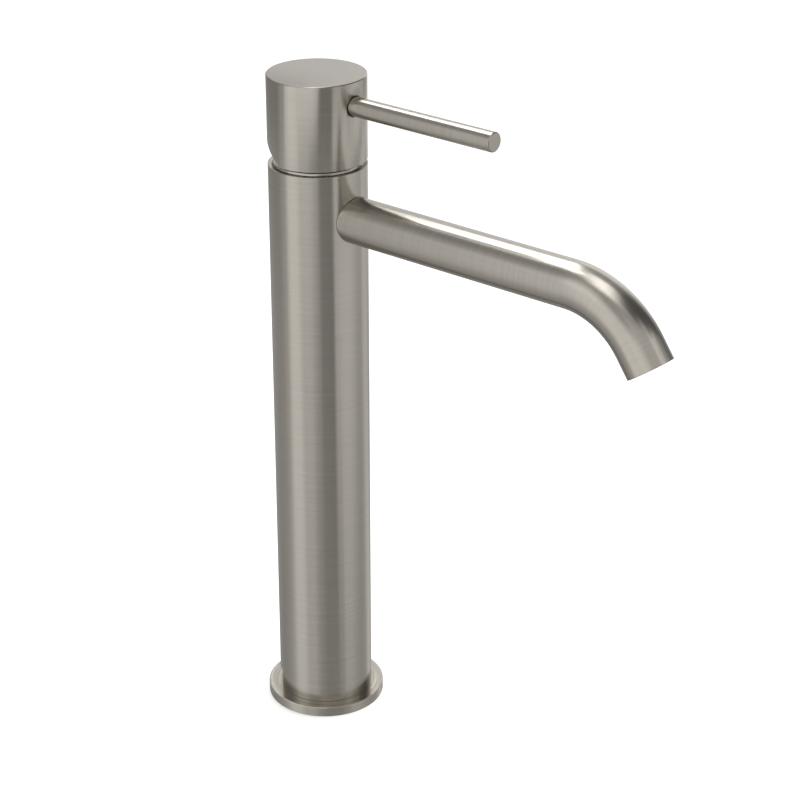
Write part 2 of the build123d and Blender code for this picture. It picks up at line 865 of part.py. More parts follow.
with BuildPart() as lever_cap:
    revolve(ring(0, column_radius, cap_bottom, cap_top), axis=Axis.Z)
    chamfer(lever_cap.edges().filter_by(GeomType.CIRCLE).sort_by(Axis.Z)[-1], cap_top_break)
    # relief that lets the back of the cap tip down over the rim
    with BuildSketch(Plane.XZ):
        with BuildLine():
            Polyline(
                (-cap_relief_start, cap_bottom),
                (-relief_reach, cap_bottom),
                (-relief_reach, cap_bottom + relief_rise),
                close=True,
            )
        make_face()
    extrude(amount=column_diameter, both=True, mode=Mode.SUBTRACT)
    foot_faces = lever_cap.faces().filter_by(GeomType.PLANE).sort_by(Axis.Z)[:2]
    foot_edges = foot_faces.edges().filter_by(GeomType.LINE, reverse=True)
    chamfer(foot_edges, cap_foot_break)
    # hollow inside, leaving a boss for the stem and one for the lever pin
    with BuildSketch(Plane.XY.offset(cap_bottom)):
        Circle(cavity_radius)
        Circle(cap_boss_diameter / 2, mode=Mode.SUBTRACT)
    extrude(amount=cavity_roof - cap_bottom, mode=Mode.SUBTRACT)
    with BuildSketch(Plane.XY.offset(cap_bottom)):
        Circle(cap_boss_diameter / 2)
    extrude(amount=boss_bottom - cap_bottom, mode=Mode.SUBTRACT)
    with BuildSketch(Plane.YZ):
        with Locations((0, lever_height)):
            Circle(pin_boss_diameter / 2)
        with Locations((0, (lever_height + cavity_roof) / 2)):
            Rectangle(pin_boss_diameter, cavity_roof - lever_height)
    extrude(amount=cavity_radius + cap_wall / 2)
    # square socket for the stem
    with BuildSketch(Plane.XY.offset(boss_bottom)):
        Rectangle(stem_depth + 2 * seat_gap, stem_width + 2 * seat_gap)
    extrude(amount=socket_top - boss_bottom, mode=Mode.SUBTRACT)
    # thread for screw and pin, and the recess that the pin's shoulder seats in
    with BuildSketch(Plane.YZ.offset(stem_depth / 2)):
        with Locations((0, lever_height)):
            Circle(screw_bore)
    extrude(amount=column_diameter, mode=Mode.SUBTRACT)
    with BuildSketch(Plane.YZ.offset(lever_seat)):
        with Locations((0, lever_height)):
            Circle(lever_radius + lever_seat_gap)
    extrude(amount=column_diameter, mode=Mode.SUBTRACT)
save(lever_cap, "lever_cap")

# ------------------------------------------------------------------ lever pin and screw

screw_start = stem_depth / 2 + film_gap
thread_start = screw_start + screw_length + screw_room
lever_axis = Axis((0, 0, lever_height), (1, 0, 0))

with BuildPart() as lever_pin:
    revolve(
        ring_points(
            (thread_start, 0),
            (thread_start, lever_thread_radius),
            (lever_seat, lever_thread_radius),
            (lever_seat, lever_radius),
            (lever_reach - lever_end_break, lever_radius),
            (lever_reach, lever_radius - lever_end_break),
            (lever_reach, 0),
            height=lever_height,
        ),
        axis=lever_axis,
    )
save(lever_pin, "lever_pin")

with BuildPart() as grub_screw:
    with BuildSketch(Plane.YZ.offset(screw_start)):
        with Locations((0, lever_height)):
            Circle(lever_thread_radius)
    extrude(amount=screw_length)
    with BuildSketch(Plane.YZ.offset(screw_start + screw_length)):
        with Locations((0, lever_height)):
            RegularPolygon(screw_key_width / 2, hexagon, major_radius=False)
    extrude(amount=-screw_key_depth, mode=Mode.SUBTRACT)
save(grub_screw, "grub_screw")
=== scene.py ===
# %% [markdown]
# # A tall basin mixer in brushed nickel
#
# The real thing is a tube standing on a thin round flange, with a second tube for a spout
# and a round cap on top that tips and turns on its cartridge. Nearly all of it is turned or
# bent tube, so nearly all of its shapes follow short rules, and the look is in the finish:
# fine brushed lines that smear every reflection across themselves.
#
# The mechanical model is loaded first, because it fixes every size and place. Each piece
# below reads what it can from the box of the node that it dresses.

# %% Load the mechanical model
import bmesh
import bpy
import json
from math import cos, radians, sin, sqrt, tan
from mathutils import Matrix, Vector

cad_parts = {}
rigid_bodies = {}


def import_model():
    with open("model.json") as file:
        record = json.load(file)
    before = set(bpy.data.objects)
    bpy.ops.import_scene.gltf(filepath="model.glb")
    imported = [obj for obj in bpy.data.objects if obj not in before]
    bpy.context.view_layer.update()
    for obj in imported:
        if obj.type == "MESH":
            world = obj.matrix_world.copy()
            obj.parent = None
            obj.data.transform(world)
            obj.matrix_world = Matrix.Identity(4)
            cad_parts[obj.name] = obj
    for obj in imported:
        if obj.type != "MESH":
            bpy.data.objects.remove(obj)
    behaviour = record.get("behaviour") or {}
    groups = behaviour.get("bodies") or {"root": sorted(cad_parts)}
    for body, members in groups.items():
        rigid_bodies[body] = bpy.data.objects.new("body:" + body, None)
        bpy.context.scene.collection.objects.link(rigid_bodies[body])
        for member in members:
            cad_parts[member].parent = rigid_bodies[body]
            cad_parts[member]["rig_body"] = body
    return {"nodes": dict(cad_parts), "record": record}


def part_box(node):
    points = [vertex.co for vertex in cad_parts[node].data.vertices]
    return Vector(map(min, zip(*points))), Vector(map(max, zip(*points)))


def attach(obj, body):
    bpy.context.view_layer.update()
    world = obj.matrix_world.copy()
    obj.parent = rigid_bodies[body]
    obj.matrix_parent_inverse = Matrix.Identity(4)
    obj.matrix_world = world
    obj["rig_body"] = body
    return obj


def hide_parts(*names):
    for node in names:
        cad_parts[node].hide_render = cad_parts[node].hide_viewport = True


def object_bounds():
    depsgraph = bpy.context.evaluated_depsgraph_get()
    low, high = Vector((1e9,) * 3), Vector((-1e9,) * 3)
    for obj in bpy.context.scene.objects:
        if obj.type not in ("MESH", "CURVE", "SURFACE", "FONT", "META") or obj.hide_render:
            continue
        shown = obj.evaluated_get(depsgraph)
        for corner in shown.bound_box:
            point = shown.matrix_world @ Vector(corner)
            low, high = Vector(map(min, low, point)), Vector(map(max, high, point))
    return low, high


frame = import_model()
cad_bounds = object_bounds()
mm = 0.001
slot_of = {part["node"]: part["material_slot"] for part in frame["record"]["subparts"]}

# %% [markdown]
# ## Measuring
#
# A round node that stands on the column's axis has its radius in its box: the highest x.
# A few sizes, such as walls and edge breaks, don't show in a box. They are named beside the
# piece that has them.

# %% Read the sizes that the pieces share
flange_low, flange_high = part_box("base_flange")
column_low, column_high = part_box("column_tube")
lever_low, lever_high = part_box("lever_pin")
cap_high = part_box("lever_cap")[1]
seal_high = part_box("deck_seal")[1]

column_radius = column_high.x
flange_radius = flange_high.x
lever_radius = (lever_high.y - lever_low.y) / 2
lever_height = (lever_high.z + lever_low.z) / 2
print(f"column {2000 * column_radius:.1f} mm across, {1000 * cap_high.z:.1f} mm to the top")

# %% [markdown]
# ## The camera
#
# A long lens from a metre away keeps the column's sides almost parallel. Azimuth and
# elevation say where the camera stands, and the aim is a point in front of the column at
# about half its height.

# %% Place the camera
camera_azimuth = radians(40)
camera_elevation = radians(25)
camera_distance = 1043.97 * mm
camera_aim = Vector((28.16, 23.63, 157.41)) * mm
camera_lens = 100

camera_data = bpy.data.cameras.new("camera")
camera_data.lens = camera_lens
camera_data.sensor_width = 36
camera_data.clip_start = 0.05
camera_data.clip_end = 50
camera = bpy.data.objects.new("camera", camera_data)
bpy.context.scene.collection.objects.link(camera)
towards_camera = Vector((
    sin(camera_azimuth) * cos(camera_elevation),
    -cos(camera_azimuth) * cos(camera_elevation),
    sin(camera_elevation),
))
camera.location = camera_aim + towards_camera * camera_distance
camera.rotation_mode = "QUATERNION"
camera.rotation_quaternion = (-towards_camera).to_track_quat("-Z", "Y")
bpy.context.scene.camera = camera
print("camera at", [round(1000 * value) for value in camera.location], "mm")

# %% [markdown]
# ## Small helpers for shader trees
#
# A shader tree in a script is mostly "make a node, set its inputs". One helper takes both
# plain values and sockets, so that a tree reads like the formula that it is.

# %% Make a node and fill its inputs
def add_node(tree, kind, inputs=None, **options):
    """A new node with its options set, and its inputs set to values or linked to sockets."""
    made = tree.nodes.new(kind)
    for name, value in options.items():
        setattr(made, name, value)
    for name, value in (inputs or {}).items():
        if isinstance(value, bpy.types.NodeSocket):
            tree.links.new(value, made.inputs[name])
        else:
            made.inputs[name].default_value = value
    return made


def math_node(tree, operation, *values):
    """The output of a Math node."""
    made = add_node(tree, "ShaderNodeMath", dict(enumerate(values)), operation=operation)
    return made.outputs[0]


def vector_node(tree, operation, *values, output="Vector"):
    """An output of a Vector Math node."""
    made = add_node(tree, "ShaderNodeVectorMath", dict(enumerate(values)), operation=operation)
    return made.outputs[output]


def mixture(tree, *parts):
    """The sum of some values, each times its share."""
    total = 0.0
    for value, share in parts:
        total = math_node(tree, "ADD", total, math_node(tree, "MULTIPLY", value, share))
    return total


def blend(tree, factor, low, high):
    """One number at factor 0, the other at factor 1."""
    made = add_node(
        tree, "ShaderNodeMix", {"Factor": factor, "A": low, "B": high}, data_type="FLOAT"
    )
    return made.outputs["Result"]


def remap(tree, value, from_low, from_high, to_low, to_high, smooth=False):
    """A value taken from one range to another, and held inside it."""
    ranges = {"From Min": from_low, "From Max": from_high, "To Min": to_low, "To Max": to_high}
    made = add_node(
        tree,
        "ShaderNodeMapRange",
        {"Value": value} | ranges,
        interpolation_type="SMOOTHSTEP" if smooth else "LINEAR",
    )
    return made.outputs["Result"]


# Noise keeps to the middle of 0 to 1, so it is stretched from this range.
noise_low, noise_high = 0.3, 0.7


# %% [markdown]
# ## Brushed nickel
#
# Brushing leaves thousands of hair-thin grooves side by side. Along a groove the metal is
# smooth; across it the surface tips to and fro, so a reflection is smeared *across* the
# grooves. That is anisotropy. Blender stretches a highlight along the Tangent input, so the
# tangent is the way across the grooves.
#
# Every outer piece here was brushed while it turned, or around the tube, so the grooves
# are rings. On a turned piece the groove's way is axis x position, and the way across is
# the surface normal crossed with that: up the side of the column, outwards on a flat top.

# %% Way across the grooves of a turned piece
def turned_grooves(tree, axis, centre):
    """Sockets with the way across ring-shaped grooves, and the distance across them in metres."""
    place = add_node(tree, "ShaderNodeTexCoord").outputs["Object"]
    normal = add_node(tree, "ShaderNodeNewGeometry").outputs["Normal"]
    arm = vector_node(tree, "SUBTRACT", place, centre)
    groove = vector_node(tree, "CROSS_PRODUCT", axis, arm)
    across = vector_node(tree, "NORMALIZE", vector_node(tree, "CROSS_PRODUCT", normal, groove))
    height = vector_node(tree, "DOT_PRODUCT", arm, axis, output="Value")
    reach = vector_node(tree, "LENGTH", groove, output="Value")
    return across, math_node(tree, "ADD", height, reach)


# %% Way across the grooves of a bent tube
def tube_grooves(tree):
    """The same for a tube whose mesh carries its own direction and distance along its path."""
    across = add_node(tree, "ShaderNodeAttribute", attribute_name="path_direction")
    distance = add_node(tree, "ShaderNodeAttribute", attribute_name="path_distance")
    return across.outputs["Vector"], distance.outputs["Fac"]


# %% [markdown]
# The grooves themselves are noise that is stretched into long thin streaks: slow along the
# groove, fast across it. Three sizes are enough. Hairlines of a millimetre carry most of
# the change in lightness and tilt the surface a little through a bump, broader streaks
# change how rough it is, and a slow cloud keeps large plain areas from looking like plastic.

# %% Streaks along the grooves
streak_raggedness = 0.6


def streaks(tree, place, distance, length, width, detail):
    """Noise between 0 and 1, drawn out to a length along the grooves and a width across them."""
    along = vector_node(tree, "SCALE", place)
    along.node.inputs["Scale"].default_value = 1 / length
    split = add_node(tree, "ShaderNodeSeparateXYZ", {"Vector": along})
    step = math_node(tree, "MULTIPLY", distance, 1 / width)
    depth = math_node(tree, "ADD", step, split.outputs["Z"])
    spot = add_node(
        tree,
        "ShaderNodeCombineXYZ",
        {"X": split.outputs["X"], "Y": split.outputs["Y"], "Z": depth},
    )
    noise = add_node(
        tree,
        "ShaderNodeTexNoise",
        {
            "Vector": spot.outputs["Vector"],
            "Scale": 1.0,
            "Detail": detail,
            "Roughness": streak_raggedness,
        },
    )
    return noise.outputs["Fac"]


# %% [markdown]
# The nickel is one colour with four finishes. The column, the cap's side and the flange's
# edge were brushed as they turned, and smear reflections most. The tubes for spout and
# lever were drawn and then brushed lightly. The cap's flat top is ground so evenly that no
# groove shows, while the flange's flat face keeps clear rings.

# %% Four finishes of the nickel
nickel_colour = (0.500, 0.468, 0.415)
turned_finish = {"roughness": 0.23, "anisotropy": 0.62, "contrast": 0.03, "relief": 0.02}
drawn_finish = {"roughness": 0.23, "anisotropy": 0.2, "contrast": 0.03, "relief": 0.01}
flat_finish = {"roughness": 0.20, "anisotropy": 0.0, "contrast": 0.01, "relief": 0.01}
ringed_finish = {"roughness": 0.20, "anisotropy": 0.0, "contrast": 0.15, "relief": 0.05}
gloss_change = 0.02
groove_depth = 0.02 * mm


def brushed_nickel(name, grooves, *groove_settings, finish):
    """A brushed nickel material whose grooves come from one of the two functions above."""
    material = bpy.data.materials.new(name)
    material.use_nodes = True
    tree = material.node_tree
    shader = tree.nodes["Principled BSDF"]
    across, distance = grooves(tree, *groove_settings)
    place = add_node(tree, "ShaderNodeTexCoord").outputs["Object"]
    hairline = streaks(tree, place, distance, length=30 * mm, width=0.9 * mm, detail=1)
    streak = streaks(tree, place, distance, length=60 * mm, width=3 * mm, detail=2)
    cloud = streaks(tree, place, distance, length=40 * mm, width=25 * mm, detail=2)
    lightness = mixture(tree, (hairline, 0.85), (streak, 0.1), (cloud, 0.05))
    darkest, lightest = 1 - finish["contrast"], 1 + finish["contrast"]
    level = remap(tree, lightness, noise_low, noise_high, darkest, lightest)
    colour = vector_node(tree, "SCALE", nickel_colour)
    tree.links.new(level, colour.node.inputs["Scale"])
    tree.links.new(colour, shader.inputs["Base Color"])
    wear = mixture(tree, (hairline, 0.4), (streak, 0.6))
    glossiest = finish["roughness"] - gloss_change
    roughest = finish["roughness"] + gloss_change
    uneven_gloss = remap(tree, wear, noise_low, noise_high, glossiest, roughest)
    tree.links.new(uneven_gloss, shader.inputs["Roughness"])
    bump = add_node(
        tree,
        "ShaderNodeBump",
        {"Height": hairline, "Strength": finish["relief"], "Distance": groove_depth},
    )
    tree.links.new(bump.outputs["Normal"], shader.inputs["Normal"])
    tree.links.new(across, shader.inputs["Tangent"])
    shader.inputs["Metallic"].default_value = 1.0
    shader.inputs["Anisotropic"].default_value = finish["anisotropy"]
    return material


# %% Make the nickel for each kind of piece
rings_round_column = (turned_grooves, (0, 0, 1), (0, 0, 0))
rings_round_lever = (turned_grooves, (1, 0, 0), (0, 0, lever_height))

nickel_turned = brushed_nickel("nickel_turned", *rings_round_column, finish=turned_finish)
nickel_flat = brushed_nickel("nickel_flat", *rings_round_column, finish=flat_finish)
nickel_ringed = brushed_nickel("nickel_ringed", *rings_round_column, finish=ringed_finish)
nickel_lever = brushed_nickel("nickel_lever", *rings_round_lever, finish=drawn_finish)
nickel_tube = brushed_nickel("nickel_tube", tube_grooves, finish=drawn_finish)
print("brushed nickel in four finishes, along rings around the column, the lever and the tube")

# %% [markdown]
# ## Finishes of the inner pieces
#
# What sits inside shows when the cap is lifted, from under the spout, or when the mixer is
# taken apart: bare brass, drawn and machined steel, moulded plastic, rubber and lapped
# ceramic. One recipe does for all of them: a colour that drifts slowly, and a gloss and a
# relief that change with a fine grain.

# %% A plain finish with grain
grain = 0.4 * mm
drift = 10 * grain
drift_darkest, drift_lightest = 0.9, 1.08
grain_gloss_change = 0.15
grain_strength = 0.5


def plain_finish(name, colour, roughness, metallic=0.0, relief=0.01 * mm, sheen=0.0):
    """A material whose colour, roughness and relief vary a little."""
    material = bpy.data.materials.new(name)
    material.use_nodes = True
    tree = material.node_tree
    shader = tree.nodes["Principled BSDF"]
    place = add_node(tree, "ShaderNodeTexCoord").outputs["Object"]
    fine = add_node(
        tree, "ShaderNodeTexNoise", {"Vector": place, "Scale": 1 / grain, "Detail": 3}
    ).outputs["Fac"]
    broad = add_node(
        tree, "ShaderNodeTexNoise", {"Vector": place, "Scale": 1 / drift, "Detail": 2}
    ).outputs["Fac"]
    level = remap(tree, broad, noise_low, noise_high, drift_darkest, drift_lightest)
    tinted = vector_node(tree, "SCALE", colour)
    tree.links.new(level, tinted.node.inputs["Scale"])
    tree.links.new(tinted, shader.inputs["Base Color"])
    glossiest = roughness * (1 - grain_gloss_change)
    roughest = roughness * (1 + grain_gloss_change)
    uneven_gloss = remap(tree, fine, noise_low, noise_high, glossiest, roughest)
    tree.links.new(uneven_gloss, shader.inputs["Roughness"])
    bump = add_node(
        tree, "ShaderNodeBump", {"Height": fine, "Strength": grain_strength, "Distance": relief}
    )
    tree.links.new(bump.outputs["Normal"], shader.inputs["Normal"])
    shader.inputs["Metallic"].default_value = metallic
    shader.inputs["Sheen Weight"].default_value = sheen
    return material


# %% Give each node the finish of its slot
rubber = plain_finish("seal_rubber", (0.022, 0.022, 0.023), 0.6, relief=0.03 * mm, sheen=0.1)
finishes = {
    "brushed_nickel": nickel_turned,
    "brass": plain_finish("turned_brass", (0.62, 0.44, 0.19), 0.32, metallic=1.0),
    "pipe_steel": plain_finish("drawn_steel", (0.56, 0.56, 0.55), 0.38, metallic=1.0),
    "stem_steel": plain_finish("machined_steel", (0.50, 0.50, 0.50), 0.30, metallic=1.0),
    "seal_rubber": rubber,
    "pale_plastic": plain_finish("moulded_pale_plastic", (0.60, 0.60, 0.58), 0.42),
    "dark_plastic": plain_finish("moulded_dark_plastic", (0.03, 0.03, 0.032), 0.45),
    "ceramic": plain_finish("lapped_ceramic", (0.78, 0.76, 0.71), 0.12, relief=0.002 * mm),
}
for node_name, node_object in frame["nodes"].items():
    node_object.data.materials.clear()
    node_object.data.materials.append(finishes[slot_of[node_name]])
print("finishes:", sorted(finishes))

# %% [markdown]
# ## Soft edges
#
# No machined edge is perfectly sharp. A break of a tenth or two of a millimetre is too
# small to see as a shape, but it catches a thin line of light all the way round, and that
# line is what makes metal look like metal. A Bevel modifier makes it, and Harden Normals
# keeps the large faces flat, so that only the edge itself is shaded round.

# %% Break the edges of a finished shape
def break_edges(piece, width, sharp_angle=30):
    """Bevels every edge sharper than the angle, and bakes the result into the piece's mesh."""
    bevel = piece.modifiers.new("edge_break", "BEVEL")
    bevel.width = width
    bevel.segments = 3
    bevel.limit_method = "ANGLE"
    bevel.angle_limit = radians(sharp_angle)
    bevel.harden_normals = True
    bake_modifiers(piece)


def bake_modifiers(piece):
    """Replaces the piece's mesh with what its modifiers make of it, and removes them."""
    graph = bpy.context.evaluated_depsgraph_get()
    mesh = bpy.data.meshes.new_from_object(
        piece.evaluated_get(graph), preserve_all_data_layers=True, depsgraph=graph
    )
    piece.modifiers.clear()
    piece.data = mesh
    mesh.name = piece.name


# A face counts as flat when the upright part of its normal is longer than this.
flat_face = 0.999


def dress(piece, material, *nodes, flats=None):
    """The piece takes a material, stands for its nodes, and rides where they ride.

    Faces that look straight up or down can have a material of their own.
    """
    piece.data.materials.clear()
    piece.data.materials.append(material)
    if flats:
        piece.data.materials.append(flats)
        for face in piece.data.polygons:
            face.material_index = int(abs(face.normal.z) > flat_face)
    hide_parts(*nodes)
    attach(piece, frame["nodes"][nodes[0]]["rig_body"])
    print(piece.name, "stands for", nodes, "with", len(piece.data.polygons), "faces")


# %% [markdown]
# ## Turned pieces
#
# A lathe works from an outline, and so does this: a closed run of (radius, height) points
# is swept once round the axis. The same function makes the flange, the column and the
# lever. A point on the axis is a single vertex, so the ends of the lever are closed.

# %% Turn an outline
turn_steps = 192


def turned(name, outline, place=Matrix.Identity(4)):
    """A closed solid from a closed outline of (radius, height) points about Z."""
    shape = bmesh.new()
    rings = []
    for radius, height in outline:
        if radius == 0:
            rings.append([shape.verts.new((0, 0, height))] * turn_steps)
            continue
        rings.append([
            shape.verts.new((
                radius * cos(radians(360 * step / turn_steps)),
                radius * sin(radians(360 * step / turn_steps)),
                height,
            ))
            for step in range(turn_steps)
        ])
    for here, following in zip(rings, rings[1:] + rings[:1]):
        for step in range(turn_steps):
            after = (step + 1) % turn_steps
            corners = [here[step], here[after], following[after], following[step]]
            corners = list(dict.fromkeys(corners))
            if len(corners) > 2:
                shape.faces.new(corners)
    bmesh.ops.recalc_face_normals(shape, faces=shape.faces)
    for face in shape.faces:
        face.smooth = True
    mesh = bpy.data.meshes.new(name)
    shape.to_mesh(mesh)
    shape.free()
    mesh.transform(place)
    piece = bpy.data.objects.new(name, mesh)
    bpy.context.scene.collection.objects.link(piece)
    return piece


# %% [markdown]
# The flange is a flat ring with a groove in its underside for the deck seal. Its top edge
# has a clean bright break.

# %% Turn the flange
spigot_radius = 17.1 * mm
groove_gap = 0.1 * mm
seal_width = 1.8 * mm
seal_outer = seal_high.x
seal_inner = seal_outer - seal_width
groove_top = seal_high.z + groove_gap
flange_break = 0.3 * mm

flange_shell = turned("flange_shell", [
    (spigot_radius, flange_low.z),
    (seal_inner - groove_gap, flange_low.z),
    (seal_inner - groove_gap, groove_top),
    (seal_outer + groove_gap, groove_top),
    (seal_outer + groove_gap, flange_low.z),
    (flange_radius, flange_low.z),
    (flange_radius, flange_high.z),
    (spigot_radius, flange_high.z),
])
break_edges(flange_shell, flange_break)
dress(flange_shell, nickel_turned, "base_flange", flats=nickel_ringed)

# %% [markdown]
# The column is a plain tube. Its rim shows as a thin ring below the cap. It falls a little
# towards the bore, so it mirrors the shadow gap at the foot of the cover ring.

# %% Turn the column
column_wall = 1.9 * mm
rim_dish = 0.3 * mm
column_break = 0.15 * mm

column_shell = turned("column_shell", [
    (column_radius - column_wall, column_low.z),
    (column_radius, column_low.z),
    (column_radius, column_high.z),
    (column_radius - column_wall, column_high.z - rim_dish),
])
break_edges(column_shell, column_break)
dress(column_shell, nickel_turned, "column_tube")

# %% [markdown]
# The lever is a thin pin with a chamfered end. It is turned about Z like the others and
# then laid along X, with its place in the mesh, because a finished piece's object stays at
# the origin.

# %% Turn the lever
lever_chamfer = 0.4 * mm
lever_shoulder = 0.45 * mm
lever_seat_depth = 4.0 * mm
lever_seat = column_radius - lever_seat_depth
lever_break = 0.12 * mm
laid_along_x = Matrix.Translation((0, 0, lever_height)) @ Matrix.Rotation(radians(90), 4, "Y")

lever_rod = turned("lever_rod", [
    (0, lever_low.x),
    (lever_radius - lever_shoulder, lever_low.x),
    (lever_radius - lever_shoulder, lever_seat),
    (lever_radius, lever_seat),
    (lever_radius, lever_high.x - lever_chamfer),
    (lever_radius - lever_chamfer, lever_high.x),
    (0, lever_high.x),
], laid_along_x)
break_edges(lever_rod, lever_break)
dress(lever_rod, nickel_lever, "lever_pin")

# %% [markdown]
# ## The lever cap
#
# The cap is a turned cup with a slanting cut at the back that lets it tip, and a round
# recess for the lever. All of that is already right in the mechanical model, so the piece
# starts as a copy of it. The copy's loose triangles are welded and its flat faces joined,
# and then its edges can be broken like the others.

# %% Weld a copy of a node
weld_distance = 0.001 * mm
flat_angle = radians(0.3)
soft_angle = 20
cap_break = 0.12 * mm


def welded_copy(node, name):
    """A copy of a node's mesh with its triangles welded and its flat faces joined."""
    shape = bmesh.new()
    shape.from_mesh(frame["nodes"][node].data)
    bmesh.ops.remove_doubles(shape, verts=shape.verts, dist=weld_distance)
    bmesh.ops.dissolve_limit(
        shape, angle_limit=flat_angle, verts=shape.verts, edges=shape.edges, delimit={"NORMAL"}
    )
    for face in shape.faces:
        face.smooth = True
    mesh = bpy.data.meshes.new(name)
    shape.to_mesh(mesh)
    shape.free()
    piece = bpy.data.objects.new(name, mesh)
    bpy.context.scene.collection.objects.link(piece)
    return piece


cap_shell = welded_copy("lever_cap", "cap_shell")
break_edges(cap_shell, cap_break, sharp_angle=soft_angle)
dress(cap_shell, nickel_turned, "lever_cap", flats=nickel_flat)

# %% [markdown]
# The cover ring shows as a thin bright line in the gap below the cap. Its wall leans in a
# little, so that it mirrors the lit room over the rim and not the dark column below. The
# lean is too slight to matter to the mechanics, and it is given to a copy of the node.

# %% Lean the cover ring's wall
cover_shell = welded_copy("cover_ring", "cover_shell")
cover_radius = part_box("cover_ring")[1].x
cover_lean = 0.3 * mm
cover_break = 0.05 * mm
top_starts = column_high.z + 0.5 * mm
wall_starts = cover_radius - 0.1 * mm
for vertex in cover_shell.data.vertices:
    reach = vertex.co.xy.length
    if vertex.co.z > top_starts and reach > wall_starts:
        vertex.co.x *= 1 - cover_lean / reach
        vertex.co.y *= 1 - cover_lean / reach
break_edges(cover_shell, cover_break, sharp_angle=soft_angle)
dress(cover_shell, nickel_turned, "cover_ring")

# %% [markdown]
# ## The spout
#
# The spout is one tube: level, then a bend, then a short straight end. Its centre line is
# three points, and Geometry Nodes do the rest. Fillet Curve rounds the corner to the bend's
# radius, and Curve to Mesh sweeps a circle along it. The first ring is slid forwards to
# follow the round column, as a fitter copes a tube. It stops a hair short of the column,
# and that hair is the thin dark line of the joint. The sweep also stores its own direction
# and distance on the mesh, because the finish needs to know which way the tube runs.

# %% Sizes of the spout
spout_low, spout_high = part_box("spout_tube")
spout_radius = (spout_high.y - spout_low.y) / 2
spout_height = spout_high.z - spout_radius
spout_wall = 1.5 * mm
spout_joint = 0.22 * mm
bend_start = 140.4 * mm
bend_radius = 43.6 * mm
bend_angle = radians(55)
end_length = 10.2 * mm
bend_steps = 40
ring_steps = 128
mouth_break = 0.2 * mm
mouth_sharpness = 40

tangent = bend_radius * tan(bend_angle / 2)
down_the_end = Vector((cos(bend_angle), 0, -sin(bend_angle)))
corner = Vector((bend_start + tangent, 0, spout_height))
mouth = corner + down_the_end * (tangent + end_length)
root = Vector((sqrt(column_radius**2 - spout_radius**2), 0, spout_height))
print("mouth of the spout at", [round(1000 * value, 1) for value in mouth], "mm")


# %% The tree that sweeps a tube
# Points nearer the start of the path than this belong to the first ring.
first_ring = 0.001 * mm


def tube_tree():
    """Sweeps a round tube along the edges of a mesh, rounds its corners and copes its start."""
    tree = bpy.data.node_groups.new("sweep_coped_tube", "GeometryNodeTree")
    for name, kind in (
        ("Geometry", "NodeSocketGeometry"),
        ("Tube Radius", "NodeSocketFloat"),
        ("Bend Radius", "NodeSocketFloat"),
        ("Bend Steps", "NodeSocketInt"),
        ("Ring Steps", "NodeSocketInt"),
        ("Column Radius", "NodeSocketFloat"),
        ("Material", "NodeSocketMaterial"),
    ):
        tree.interface.new_socket(name, in_out="INPUT", socket_type=kind)
    tree.interface.new_socket("Geometry", in_out="OUTPUT", socket_type="NodeSocketGeometry")
    given = tree.nodes.new("NodeGroupInput").outputs
    line = add_node(tree, "GeometryNodeMeshToCurve", {"Mesh": given["Geometry"]}).outputs["Curve"]
    route = add_node(
        tree,
        "GeometryNodeFilletCurve",
        {"Curve": line, "Count": given["Bend Steps"], "Radius": given["Bend Radius"]},
        mode="POLY",
    ).outputs["Curve"]
    kept = tree.nodes.new("GeometryNodeCaptureAttribute")
    kept.capture_items.new("VECTOR", "Direction")
    kept.capture_items.new("FLOAT", "Distance")
    direction = add_node(tree, "GeometryNodeInputTangent").outputs["Tangent"]
    distance = add_node(tree, "GeometryNodeSplineParameter").outputs["Length"]
    tree.links.new(route, kept.inputs["Geometry"])
    tree.links.new(direction, kept.inputs["Direction"])
    tree.links.new(distance, kept.inputs["Distance"])
    circle = add_node(
        tree,
        "GeometryNodeCurvePrimitiveCircle",
        {"Resolution": given["Ring Steps"], "Radius": given["Tube Radius"]},
    )
    skin = add_node(
        tree,
        "GeometryNodeCurveToMesh",
        {"Curve": kept.outputs["Geometry"], "Profile Curve": circle.outputs["Curve"]},
    ).outputs["Mesh"]
    coped = cope_start(tree, skin, kept.outputs["Distance"], given["Column Radius"])
    for attribute, kind, source in (
        ("path_direction", "FLOAT_VECTOR", kept.outputs["Direction"]),
        ("path_distance", "FLOAT", kept.outputs["Distance"]),
    ):
        store = add_node(
            tree,
            "GeometryNodeStoreNamedAttribute",
            {"Geometry": coped, "Name": attribute},
            data_type=kind,
        )
        tree.links.new(source, store.inputs["Value"])
        coped = store.outputs["Geometry"]
    smooth = add_node(tree, "GeometryNodeSetShadeSmooth", {"Geometry": coped}).outputs["Geometry"]
    real = add_node(tree, "GeometryNodeRealizeInstances", {"Geometry": smooth}).outputs["Geometry"]
    finished = add_node(
        tree, "GeometryNodeSetMaterial", {"Geometry": real, "Material": given["Material"]}
    )
    add_node(tree, "NodeGroupOutput", {"Geometry": finished.outputs["Geometry"]})
    return tree


def cope_start(tree, skin, distance, column):
    """Slides the first ring of a tube along X until it lies on a cylinder of this radius."""
    place = tree.nodes.new("GeometryNodeInputPosition").outputs["Position"]
    split = add_node(tree, "ShaderNodeSeparateXYZ", {"Vector": place})
    squares = math_node(
        tree,
        "SUBTRACT",
        math_node(tree, "MULTIPLY", column, column),
        math_node(tree, "MULTIPLY", split.outputs["Y"], split.outputs["Y"]),
    )
    landed = add_node(
        tree,
        "ShaderNodeCombineXYZ",
        {"X": math_node(tree, "SQRT", squares), "Y": split.outputs["Y"], "Z": split.outputs["Z"]},
    )
    first = math_node(tree, "LESS_THAN", distance, first_ring)
    moved = add_node(
        tree,
        "GeometryNodeSetPosition",
        {"Geometry": skin, "Selection": first, "Position": landed.outputs["Vector"]},
    )
    return moved.outputs["Geometry"]


